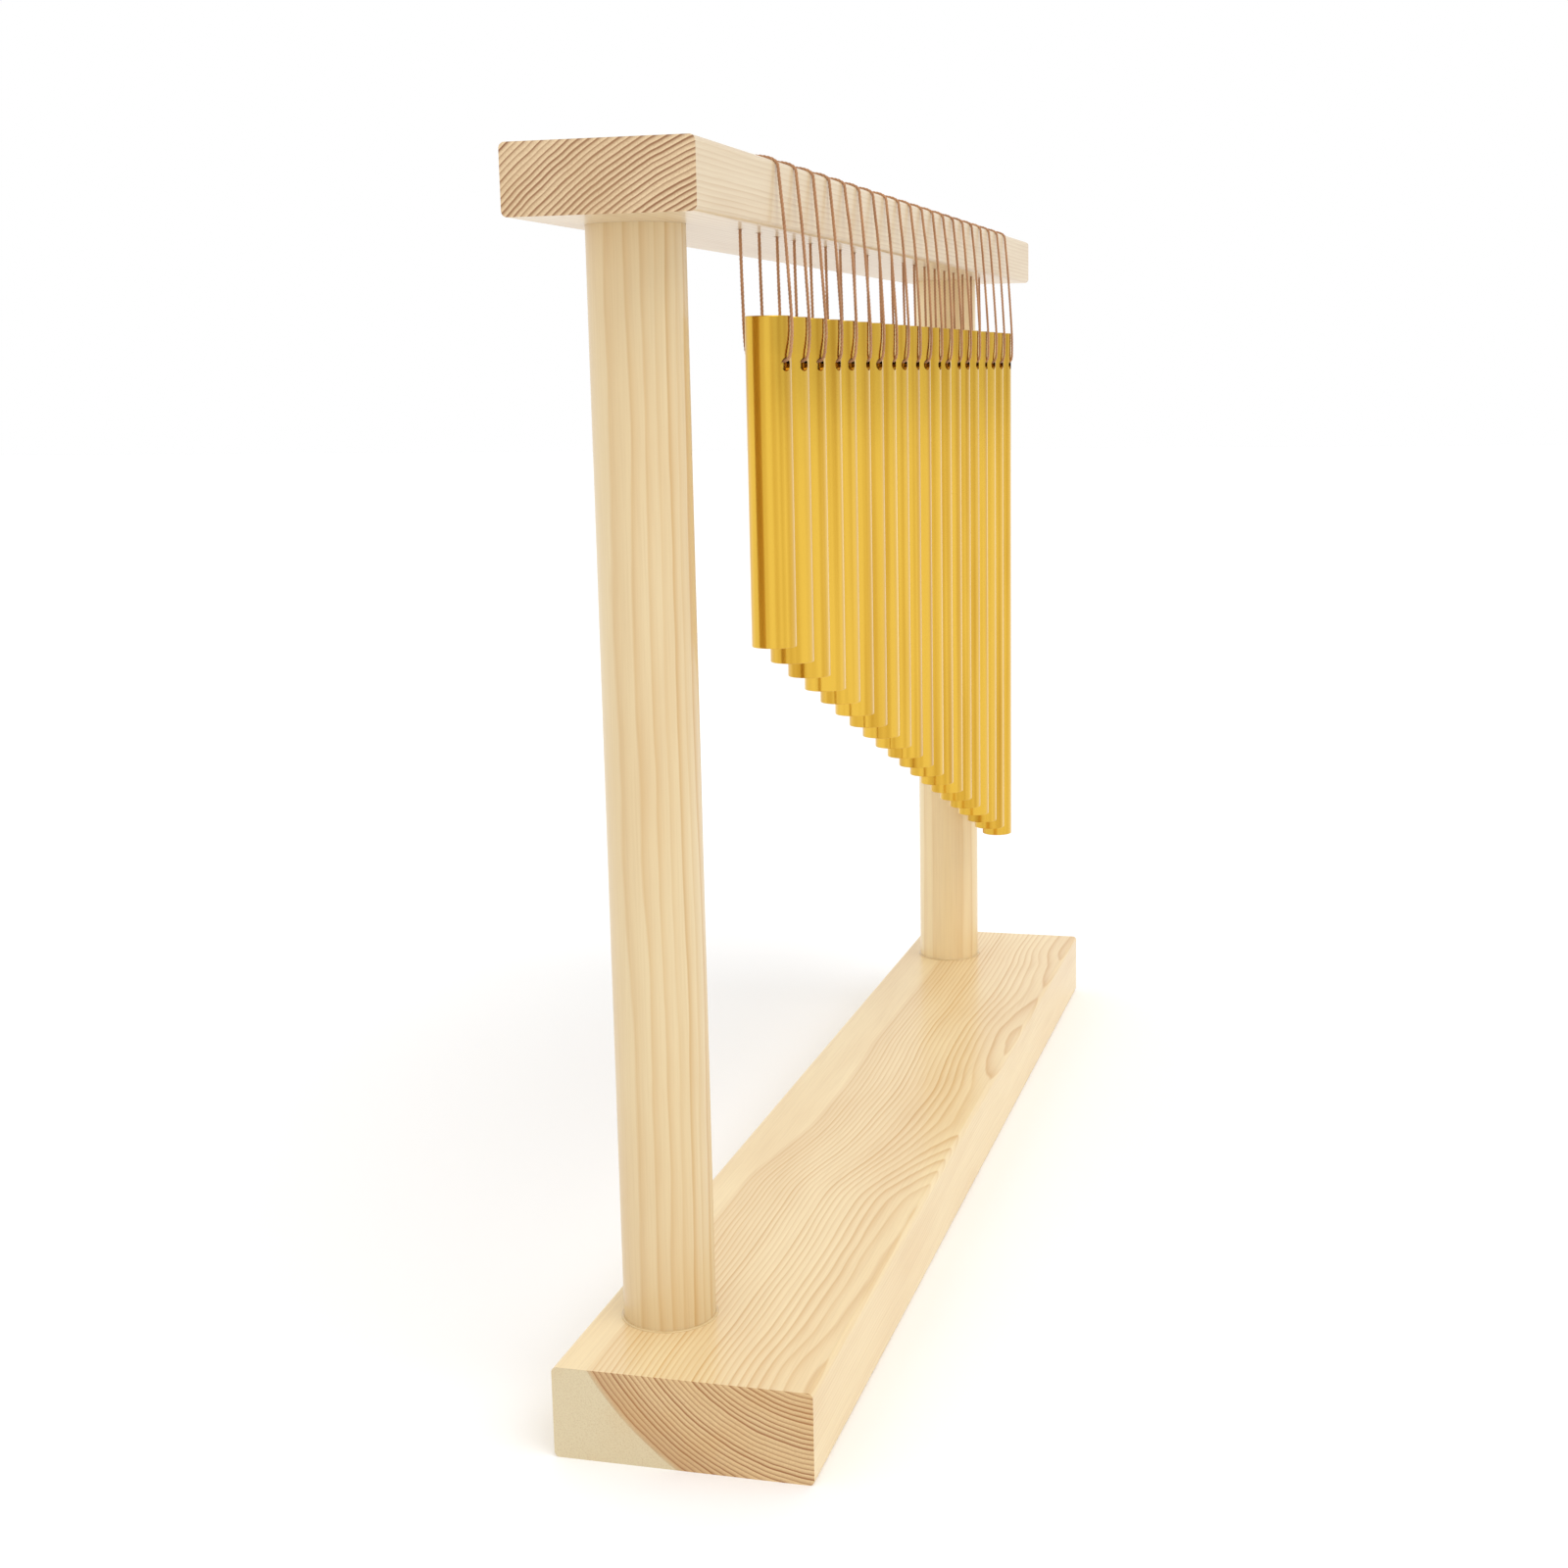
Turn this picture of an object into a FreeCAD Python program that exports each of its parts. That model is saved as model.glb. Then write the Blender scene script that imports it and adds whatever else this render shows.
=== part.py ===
"""Tabletop bar chime: twenty tubes of rising length, each hung by a cord loop from a pine bar on two round posts.

Frame: +X runs along the row from the short tubes to the long ones, the cords wrap the bar's front face on the -Y
side, +Z is up. The origin is at the middle of the base board's underside. Sizes are in millimetres.
"""
import FreeCAD, Part
import math
import os

Vec = FreeCAD.Vector

# ---- base board and top bar
BOARD_LENGTH = 455.0
BASE_WIDTH = 70.0
BASE_THICKNESS = 25.0
BAR_WIDTH = 48.0
BAR_THICKNESS = 17.0
EDGE_RADIUS = 1.5

# ---- round posts, let into the base and the bar
POST_DIAMETER = 25.0
POST_SHOWING = 287.5
POST_END_MARGIN = 38.0
POST_BACK_MARGIN = 19.5
POST_DEPTH_IN_BASE = 12.0
POST_DEPTH_IN_BAR = 9.0
POST_CLEARANCE = 0.1
POST_CHAMFER = 0.8

# ---- countersunk screws, one up into each post from below
SCREW_LENGTH = 42.0
SCREW_SHANK_DIAMETER = 4.0
SCREW_HEAD_DIAMETER = 8.0
SCREW_HEAD_HEIGHT = 2.4
SCREW_TIP_LENGTH = 5.0
SCREW_RECESS = 0.6
SCREW_CLEARANCE = 0.1
DRIVE_SLOT_WIDTH = 1.2
DRIVE_SLOT_LENGTH = 4.4
DRIVE_SLOT_DEPTH = 1.3

# ---- tubes
TUBE_COUNT = 20
TUBE_PITCH = 17.3
ROW_SHIFT = 2.5
TUBE_DIAMETER = 12.0
TUBE_WALL = 1.0
SHORTEST_TUBE = 86.0
TUBE_STEP = 6.3
TUBE_DROP = 22.0
TUBE_SETBACK = 3.0
CROSS_HOLE_DIAMETER = 3.5
CROSS_HOLE_DROP = 12.4

# ---- cord loops
CORD_DIAMETER = 0.9
CORD_HOLE_DIAMETER = 2.2
CORD_CLEARANCE = 0.05
CORD_FACE_GAP = 0.35
CORD_TOP_GAP = 1.35
CORD_TUBE_GAP = 0.5
CORD_FLARE = 0.15
CORD_TURN_RADIUS = 1.0
CORD_OVER_RADIUS = 4.0
CORD_EASY_RADIUS = 20.0
KNOT_DIAMETER = 2.6
KNOT_GAP = 0.1

# ---- places that follow from the sizes above
BACK_Y = BASE_WIDTH / 2.0
BAR_FRONT_Y = BACK_Y - BAR_WIDTH
POST_Y = BACK_Y - POST_BACK_MARGIN
POST_X = BOARD_LENGTH / 2.0 - POST_END_MARGIN
BAR_UNDER_Z = BASE_THICKNESS + POST_SHOWING
BAR_TOP_Z = BAR_UNDER_Z + BAR_THICKNESS
TUBE_Y = BAR_FRONT_Y + TUBE_SETBACK
TUBE_TOP_Z = BAR_UNDER_Z - TUBE_DROP
CROSS_HOLE_Z = TUBE_TOP_Z - CROSS_HOLE_DROP
CORD_RADIUS = CORD_DIAMETER / 2.0
STRAND_REACH = TUBE_DIAMETER / 2.0 + CORD_RADIUS + CORD_TUBE_GAP
CORD_HOLE_Y = TUBE_Y + STRAND_REACH
KNOT_Z = BAR_TOP_Z + KNOT_DIAMETER / 2.0 + KNOT_GAP


def tube_x(index):
    """Place of a tube's axis along the row, whose middle is a little towards the long tubes' post."""
    return ROW_SHIFT + (index - (TUBE_COUNT - 1) / 2.0) * TUBE_PITCH


def tube_length(index):
    """Length of a tube: each is one step longer than the one before."""
    return SHORTEST_TUBE + TUBE_STEP * index


def eased_board(width, front_y, low_z, thickness):
    """A board whose four long edges are rounded."""
    board = Part.makeBox(BOARD_LENGTH, width, thickness, Vec(-BOARD_LENGTH / 2.0, front_y, low_z))
    long_edges = [e for e in board.Edges if abs(e.tangentAt(e.FirstParameter).x) > 0.99]
    return board.makeFillet(EDGE_RADIUS, long_edges)


def post_socket(x, low_z, depth):
    """The round hole that a post sits in."""
    return Part.makeCylinder(POST_DIAMETER / 2.0 + POST_CLEARANCE, depth, Vec(x, POST_Y, low_z))


def screw_profile(x, grow, head_drop):
    """A countersunk screw standing head down, its head's face at head_drop, swollen by grow on its radius."""
    head_r = SCREW_HEAD_DIAMETER / 2.0 + grow
    shank_r = SCREW_SHANK_DIAMETER / 2.0 + grow
    head = Part.makeCone(head_r, shank_r, SCREW_HEAD_HEIGHT, Vec(x, POST_Y, head_drop))
    shank_length = SCREW_LENGTH - SCREW_HEAD_HEIGHT - SCREW_TIP_LENGTH
    shank = Part.makeCylinder(shank_r, shank_length, Vec(x, POST_Y, head_drop + SCREW_HEAD_HEIGHT))
    tip_z = head_drop + SCREW_HEAD_HEIGHT + shank_length
    tip = Part.makeCone(shank_r, 0.5 + grow, SCREW_TIP_LENGTH + grow, Vec(x, POST_Y, tip_z))
    return head.fuse([shank, tip]).removeSplitter()


def screw(x):
    """A countersunk wood screw with a crossed drive slot in its head."""
    body = screw_profile(x, 0.0, SCREW_RECESS)
    slot_a = Part.makeBox(DRIVE_SLOT_LENGTH, DRIVE_SLOT_WIDTH, DRIVE_SLOT_DEPTH)
    slot_a.translate(Vec(x - DRIVE_SLOT_LENGTH / 2.0, POST_Y - DRIVE_SLOT_WIDTH / 2.0, SCREW_RECESS))
    slot_b = slot_a.copy()
    slot_b.rotate(Vec(x, POST_Y, 0.0), Vec(0.0, 0.0, 1.0), 90.0)
    return body.cut(slot_a.fuse(slot_b))


def screw_hole(x):
    """Room for a screw: its own shape with clearance, open to the underside."""
    mouth = Part.makeCylinder(SCREW_HEAD_DIAMETER / 2.0 + SCREW_CLEARANCE, SCREW_RECESS, Vec(x, POST_Y, 0.0))
    return mouth.fuse(screw_profile(x, SCREW_CLEARANCE, SCREW_RECESS))


def base_board():
    """The board that stands on the table, with a socket and a screw hole for each post."""
    board = eased_board(BASE_WIDTH, -BASE_WIDTH / 2.0, 0.0, BASE_THICKNESS)
    for x in (-POST_X, POST_X):
        board = board.cut(post_socket(x, BASE_THICKNESS - POST_DEPTH_IN_BASE, POST_DEPTH_IN_BASE))
        board = board.cut(screw_hole(x))
    return board


def top_bar():
    """The bar that the cords wrap, with its post sockets and its row of cord holes."""
    bar = eased_board(BAR_WIDTH, BAR_FRONT_Y, BAR_UNDER_Z, BAR_THICKNESS)
    for x in (-POST_X, POST_X):
        bar = bar.cut(post_socket(x, BAR_UNDER_Z, POST_DEPTH_IN_BAR + POST_CLEARANCE))
    holes = [
        Part.makeCylinder(CORD_HOLE_DIAMETER / 2.0, BAR_THICKNESS, Vec(tube_x(i), CORD_HOLE_Y, BAR_UNDER_Z))
        for i in range(TUBE_COUNT)
    ]
    return bar.cut(Part.makeCompound(holes))


def post(x):
    """A round post with eased ends and a pilot hole for its screw."""
    foot_z = BASE_THICKNESS - POST_DEPTH_IN_BASE
    length = POST_DEPTH_IN_BASE + POST_SHOWING + POST_DEPTH_IN_BAR
    rod = Part.makeCylinder(POST_DIAMETER / 2.0, length, Vec(x, POST_Y, foot_z))
    ends = [e for e in rod.Edges if isinstance(e.Curve, Part.Circle)]
    return rod.makeChamfer(POST_CHAMFER, ends).cut(screw_hole(x))


def chime_tube(index):
    """An open tube with a cross hole near its top, bored front to back."""
    x = tube_x(index)
    length = tube_length(index)
    foot = Vec(x, TUBE_Y, TUBE_TOP_Z - length)
    outer = Part.makeCylinder(TUBE_DIAMETER / 2.0, length, foot)
    bore = Part.makeCylinder(TUBE_DIAMETER / 2.0 - TUBE_WALL, length, foot)
    hole_start = Vec(x, TUBE_Y - TUBE_DIAMETER, CROSS_HOLE_Z)
    hole = Part.makeCylinder(CROSS_HOLE_DIAMETER / 2.0, 2.0 * TUBE_DIAMETER, hole_start, Vec(0.0, 1.0, 0.0))
    return outer.cut(bore).cut(hole)


def rounded_wire(points, radii):
    """Straight runs through the points, joined at each inner point by a tangent arc of the radius given for it."""
    edges = []
    start = points[0]
    for before, corner, after, radius in zip(points, points[1:], points[2:], radii):
        towards = (corner - before).normalize()
        away = (after - corner).normalize()
        half_turn = towards.getAngle(away) / 2.0
        reach = radius * math.tan(half_turn)
        arc_start = corner - towards * reach
        arc_end = corner + away * reach
        middle = (away - towards).normalize()
        arc_middle = corner + middle * (radius / math.cos(half_turn) - radius)
        edges.append(Part.LineSegment(start, arc_start).toShape())
        edges.append(Part.Arc(arc_start, arc_middle, arc_end).toShape())
        start = arc_end
    edges.append(Part.LineSegment(start, points[-1]).toShape())
    return Part.Wire(edges)


def cord_route(x):
    """The points of one loop and the radius of the arc at each inner one.

    The loop starts in its knot, goes down through the bar to the tube's back, through the cross hole, up the front,
    over the bar's edge and back into the knot.
    """
    carry_z = CROSS_HOLE_Z + CROSS_HOLE_DIAMETER / 2.0 - CORD_RADIUS - CORD_CLEARANCE
    over_z = BAR_TOP_Z + CORD_RADIUS + CORD_TOP_GAP
    points = [
        Vec(x, CORD_HOLE_Y, KNOT_Z - KNOT_DIAMETER / 4.0),
        Vec(x, CORD_HOLE_Y, carry_z),
        Vec(x, TUBE_Y - STRAND_REACH, carry_z),
        Vec(x, TUBE_Y - STRAND_REACH - CORD_FLARE, TUBE_TOP_Z),
        Vec(x, BAR_FRONT_Y - CORD_FACE_GAP, over_z),
        Vec(x, CORD_HOLE_Y - KNOT_DIAMETER / 4.0, KNOT_Z + CORD_RADIUS / 2.0),
    ]
    radii = [CORD_TURN_RADIUS, CORD_TURN_RADIUS, CORD_EASY_RADIUS, CORD_OVER_RADIUS]
    return points, radii


def cord_loop(index):
    """One cord loop with its knot, which sits on the mouth of its hole in the bar's top."""
    x = tube_x(index)
    points, radii = cord_route(x)
    path = rounded_wire(points, radii)
    ring = Part.Wire([Part.Circle(points[0], Vec(0.0, 0.0, 1.0), CORD_RADIUS).toShape()])
    strand = path.makePipeShell([ring], True, False)
    if index == 0:
        expected = math.pi * CORD_RADIUS ** 2 * path.Length
        print("cord loop", round(path.Length, 1), "mm long, arcs of radius", radii)
        print("cord loop volume", round(strand.Volume, 2), "against section times length", round(expected, 2))
    knot = Part.makeSphere(KNOT_DIAMETER / 2.0, Vec(x, CORD_HOLE_Y, KNOT_Z))
    return strand.fuse(knot).removeSplitter()


def save(shape, name):
    """Write one node."""
    shape.exportStep(os.path.join("parts", name + ".step"))
    print(name, "valid", shape.isValid(), "solids", len(shape.Solids), "volume", round(shape.Volume, 1))


def main():
    """Build every node of the chime."""
    os.makedirs("parts", exist_ok=True)
    save(base_board(), "base_board")
    save(top_bar(), "top_bar")
    save(post(-POST_X), "post_short_end")
    save(post(POST_X), "post_long_end")
    save(Part.makeCompound([screw(-POST_X), screw(POST_X)]), "post_screws")
    for index in range(TUBE_COUNT):
        number = "%02d" % (index + 1)
        save(chime_tube(index), "tube_" + number)
        save(cord_loop(index), "cord_" + number)


main()
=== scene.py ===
"""The looks of a tabletop bar chime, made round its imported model.

A pine bar on two round pine posts holds a row of gold tubes, each in a loop of brown cord.
The boards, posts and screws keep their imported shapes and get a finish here. The tubes, the
cords and the glue round the posts are made anew.
"""
import logging
import math
import random
from dataclasses import dataclass
from enum import Enum
from typing import Any, Dict, List, Optional, Sequence, Tuple, Union

import bpy
from mathutils import Matrix, Quaternion, Vector


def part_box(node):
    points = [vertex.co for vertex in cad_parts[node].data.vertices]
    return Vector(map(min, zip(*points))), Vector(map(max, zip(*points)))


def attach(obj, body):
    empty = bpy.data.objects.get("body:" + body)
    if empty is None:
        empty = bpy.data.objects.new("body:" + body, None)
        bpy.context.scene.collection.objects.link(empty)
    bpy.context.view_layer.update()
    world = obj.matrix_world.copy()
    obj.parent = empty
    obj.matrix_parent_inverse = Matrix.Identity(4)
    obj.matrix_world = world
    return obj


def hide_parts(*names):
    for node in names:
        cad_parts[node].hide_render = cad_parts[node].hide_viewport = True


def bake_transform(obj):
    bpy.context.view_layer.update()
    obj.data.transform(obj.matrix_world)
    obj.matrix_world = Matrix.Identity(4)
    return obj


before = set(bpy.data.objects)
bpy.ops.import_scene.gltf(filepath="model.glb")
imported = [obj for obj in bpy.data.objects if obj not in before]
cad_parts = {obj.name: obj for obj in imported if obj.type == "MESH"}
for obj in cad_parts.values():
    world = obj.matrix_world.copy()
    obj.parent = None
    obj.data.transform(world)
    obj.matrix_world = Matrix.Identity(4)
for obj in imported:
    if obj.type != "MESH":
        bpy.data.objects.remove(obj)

LOG = logging.getLogger("bar_chime")
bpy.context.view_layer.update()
MM = 0.001
CROSS_HOLE_DROP = 12.4 * MM
CROSS_HOLE_RADIUS = 1.75 * MM
BEYOND_THE_LOG = 10.0
Triple = Tuple[float, float, float]
Colour = Triple
Number = Union[float, "Value"]


# ---------------------------------------------------------------- small tools


@dataclass(frozen=True)
class Span:
    """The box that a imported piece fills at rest."""

    low: Vector
    high: Vector

    @classmethod
    def of(cls, node: str) -> "Span":
        """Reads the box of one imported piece.

        Args:
            node: The piece's name.

        Returns:
            Its box.
        """
        low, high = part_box(node)
        return cls(Vector(low), Vector(high))

    @property
    def centre(self) -> Vector:
        """The middle of the box."""
        return (self.low + self.high) / 2.0

    @property
    def size(self) -> Vector:
        """The box's length on each axis."""
        return self.high - self.low


def let_go() -> None:
    """Deselects everything, so that the next operator acts on the new piece alone."""
    if bpy.context.object and bpy.context.object.mode != "OBJECT":
        bpy.ops.object.mode_set(mode="OBJECT")
    bpy.ops.object.select_all(action="DESELECT")


def pick(piece: bpy.types.Object) -> None:
    """Makes one piece the only selected one and the active one.

    Args:
        piece: The piece that the next operator acts on.
    """
    let_go()
    piece.select_set(True)
    bpy.context.view_layer.objects.active = piece


def settle(piece: bpy.types.Object, name: str) -> bpy.types.Object:
    """Names a piece and moves its place into its mesh.

    Args:
        piece: The piece, wherever it was made.
        name: Its final name.

    Returns:
        The same piece, with its object at the origin.
    """
    pick(piece)
    bpy.ops.object.transform_apply(location=True, rotation=True, scale=True)
    piece.name = name
    piece.data.name = name
    return piece


def dress(piece: bpy.types.Object, material: bpy.types.Material) -> None:
    """Gives a piece one material all over."""
    piece.data.materials.clear()
    piece.data.materials.append(material)


# ---------------------------------------------------------------- shader tools


class Grain(Enum):
    """The axis that a piece's grain or drawing lines run along."""

    LENGTHWISE = 0
    UPRIGHT = 2


@dataclass(frozen=True)
class Mottle:
    """One size of smooth noise: how many spots it has to the metre, and how fine its edges are."""

    along: float
    across: float
    detail: float
    rough: float
    shift: float = 0.0


class Value:
    """A number that varies over a surface, so that shader maths reads as arithmetic."""

    def __init__(self, tree: bpy.types.NodeTree, socket: bpy.types.NodeSocket) -> None:
        """Wraps one output socket.

        Args:
            tree: The tree that new Math nodes go into.
            socket: The output that carries the number.
        """
        self.tree = tree
        self.socket = socket

    def _math(self, operation: str, first: Number, second: Number = 0.0) -> "Value":
        """Adds one Math node.

        Args:
            operation: The node's operation.
            first: Its first operand.
            second: Its second operand.

        Returns:
            The node's result.
        """
        node = self.tree.nodes.new("ShaderNodeMath")
        node.operation = operation
        for slot, operand in zip(node.inputs, (first, second)):
            if isinstance(operand, Value):
                self.tree.links.new(operand.socket, slot)
            else:
                slot.default_value = operand
        return Value(self.tree, node.outputs[0])

    def __add__(self, other: Number) -> "Value":
        """The sum."""
        return self._math("ADD", self, other)

    def __radd__(self, other: Number) -> "Value":
        """The sum, with a plain number first."""
        return self._math("ADD", other, self)

    def __sub__(self, other: Number) -> "Value":
        """The difference."""
        return self._math("SUBTRACT", self, other)

    def __rsub__(self, other: Number) -> "Value":
        """The difference, with a plain number first."""
        return self._math("SUBTRACT", other, self)

    def __mul__(self, other: Number) -> "Value":
        """The product."""
        return self._math("MULTIPLY", self, other)

    def __rmul__(self, other: Number) -> "Value":
        """The product, with a plain number first."""
        return self._math("MULTIPLY", other, self)

    def __truediv__(self, other: Number) -> "Value":
        """The quotient."""
        return self._math("DIVIDE", self, other)

    def __pow__(self, other: Number) -> "Value":
        """The power."""
        return self._math("POWER", self, other)

    def __abs__(self) -> "Value":
        """The size without its sign."""
        return self._math("ABSOLUTE", self)

    def fraction(self) -> "Value":
        """What is left over a whole number."""
        return self._math("FRACT", self)

    def floor(self) -> "Value":
        """The whole number below."""
        return self._math("FLOOR", self)

    def kept(self) -> "Value":
        """The number kept between 0 and 1."""
        return self._math("MINIMUM", self._math("MAXIMUM", self, 0.0), 1.0)


class Palette:
    """One material in the making."""

    def __init__(self, name: str) -> None:
        """Starts an empty material with a Principled surface.

        Args:
            name: The material's name.
        """
        self.material = bpy.data.materials.new(name)
        self.material.use_nodes = True
        self.tree = self.material.node_tree
        self.tree.nodes.clear()
        self.surface = self.node("ShaderNodeBsdfPrincipled")
        self.node("ShaderNodeOutputMaterial", inputs={"Surface": self.surface.outputs[0]})
        self.where = self.node("ShaderNodeTexCoord")

    def node(
        self,
        kind: str,
        settings: Optional[Dict[str, Any]] = None,
        inputs: Optional[Dict[Any, Any]] = None,
    ) -> bpy.types.Node:
        """Makes any node.

        Args:
            kind: The node's type.
            settings: Its own settings, which are set first.
            inputs: The value or link of each socket, by the socket's name or number.

        Returns:
            The node.
        """
        made = self.tree.nodes.new(kind)
        for key, setting in (settings or {}).items():
            setattr(made, key, setting)
        for key, given in (inputs or {}).items():
            self.put(made.inputs[key], given)
        return made

    def put(self, slot: bpy.types.NodeSocket, given: Any) -> None:
        """Links or sets one socket.

        Args:
            slot: The input socket.
            given: A Value, another socket, a number or a tuple.
        """
        if isinstance(given, Value):
            given = given.socket
        if isinstance(given, bpy.types.NodeSocket):
            self.tree.links.new(given, slot)
        elif slot.type == "RGBA" and len(given) == 3:
            slot.default_value = (*given, 1.0)
        else:
            slot.default_value = given

    def value(self, node: bpy.types.Node, output: int = 0) -> Value:
        """One output of a node, ready for arithmetic."""
        return Value(self.tree, node.outputs[output])

    def axes(self, output: str, shift: Triple = (0.0, 0.0, 0.0)) -> Tuple[Value, Value, Value]:
        """The three parts of a place or direction on the piece.

        Args:
            output: Which of the texture coordinates is read.
            shift: What is taken away from it.

        Returns:
            Its x, y and z.
        """
        moved = self.node(
            "ShaderNodeVectorMath",
            {"operation": "SUBTRACT"},
            {0: self.where.outputs[output], 1: shift},
        )
        parts = self.node("ShaderNodeSeparateXYZ", inputs={0: moved.outputs[0]})
        return tuple(self.value(parts, index) for index in range(3))

    def facing(self, axis: int, least: float, rise: float) -> Value:
        """Where the surface faces along an axis.

        Args:
            axis: The axis's number.
            least: How squarely it faces where the result leaves 0.
            rise: How fast the result then grows to 1.

        Returns:
            1 where it faces that way and 0 elsewhere.
        """
        return ((abs(self.axes("Normal")[axis]) - least) * rise).kept()

    def noise(self, mottle: Mottle, grain: Grain = Grain.UPRIGHT, seed: float = 0.0) -> Value:
        """Smooth noise over the piece, from 0 to 1.

        Args:
            mottle: The noise's size and fineness.
            grain: The axis that it is stretched along.
            seed: A number that makes it differ from piece to piece.

        Returns:
            The noise.
        """
        scale = [mottle.across] * 3
        scale[grain.value] = mottle.along
        place = self.node(
            "ShaderNodeMapping",
            inputs={
                "Vector": self.where.outputs["Object"],
                "Location": (seed + mottle.shift,) * 3,
                "Scale": tuple(scale),
            },
        )
        made = self.node(
            "ShaderNodeTexNoise",
            inputs={
                "Vector": place.outputs[0],
                "Scale": 1.0,
                "Detail": mottle.detail,
                "Roughness": mottle.rough,
            },
        )
        return self.value(made)

    def blend(self, share: Number, low: Any, high: Any) -> bpy.types.NodeSocket:
        """A colour between two colours.

        Args:
            share: 0 gives the first colour and 1 gives the second.
            low: The first colour or its socket.
            high: The second colour or its socket.

        Returns:
            The mixed colour.
        """
        mixed = self.node("ShaderNodeMix", {"data_type": "RGBA"}, {0: share, 6: low, 7: high})
        return mixed.outputs[2]

    def relief(self, height: Value, depth: float, strength: float) -> None:
        """Raises the surface a little where height is larger.

        Args:
            height: The height, from 0 to 1.
            depth: The height's full size in metres.
            strength: How much of it shows.
        """
        bump = self.node(
            "ShaderNodeBump", inputs={"Height": height, "Distance": depth, "Strength": strength}
        )
        self.put(self.surface.inputs["Normal"], bump.outputs[0])

    def finish(self, **sockets: Any) -> bpy.types.Material:
        """Sets the surface's sockets.

        Args:
            sockets: A value or link for each socket, named with _ for a space.

        Returns:
            The finished material.
        """
        for name, given in sockets.items():
            socket = " ".join(word.capitalize() for word in name.split("_"))
            self.put(self.surface.inputs[socket], given)
        return self.material


# ---------------------------------------------------------------- finishes


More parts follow.
